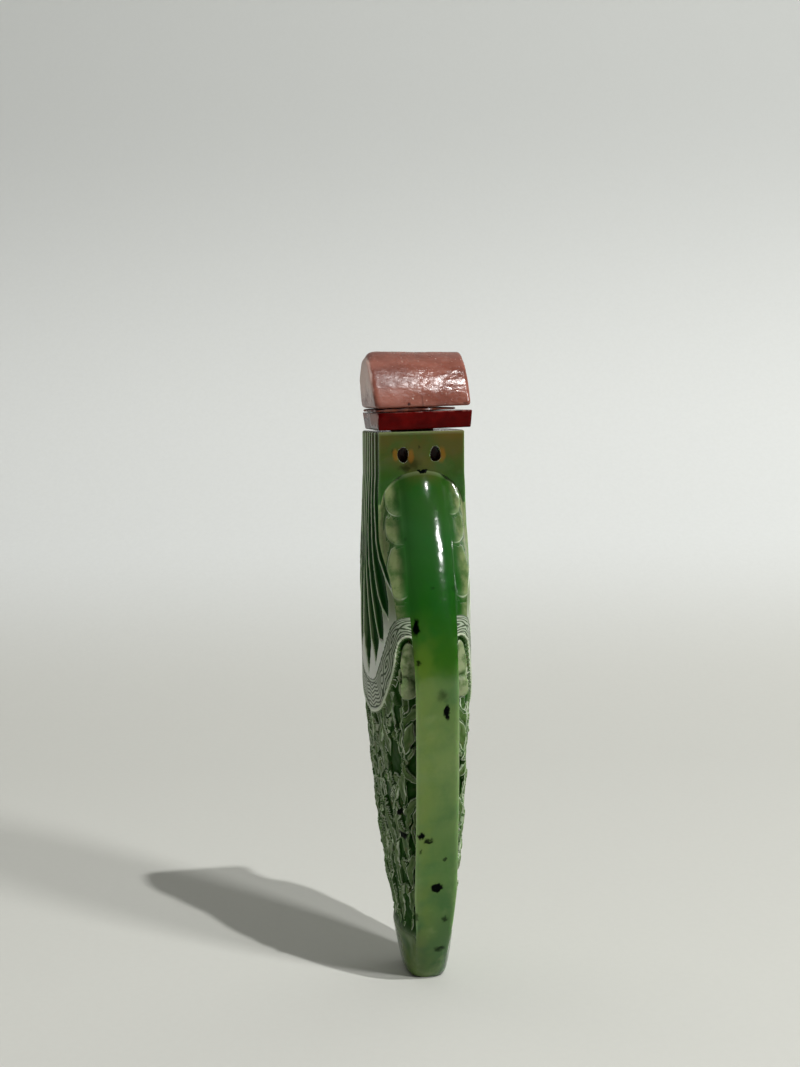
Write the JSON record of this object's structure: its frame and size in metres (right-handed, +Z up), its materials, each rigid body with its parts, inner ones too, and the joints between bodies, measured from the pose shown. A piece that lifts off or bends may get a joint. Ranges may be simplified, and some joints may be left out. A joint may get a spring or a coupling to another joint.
{
  "type": "perfume bottle",
  "caption": "Flat, tapering perfume bottle of carved green jade, hollow, with a cork stopper under a red stone plate and a half-round pink stone.",
  "frame": {"origin": "centre of the foot's flat underside, under the middle of the mouth", "axes": "+Z up the bottle, +X toward one narrow side, +Y out of one broad face"},
  "size_m": [0.0306, 0.0147, 0.09],
  "materials": {
    "jade": "polished, translucent",
    "cork": "plain cork",
    "red_stone": "polished, translucent",
    "cement": "aged resin cement",
    "pink_stone": "worn polish"
  },
  "bodies": {
    "root": {"bottle_body": "jade", "stopper_plug": "cork", "stopper_collar": "red_stone", "stopper_cement": "cement", "stopper_stone": "pink_stone"}
  },
  "joints": []
}
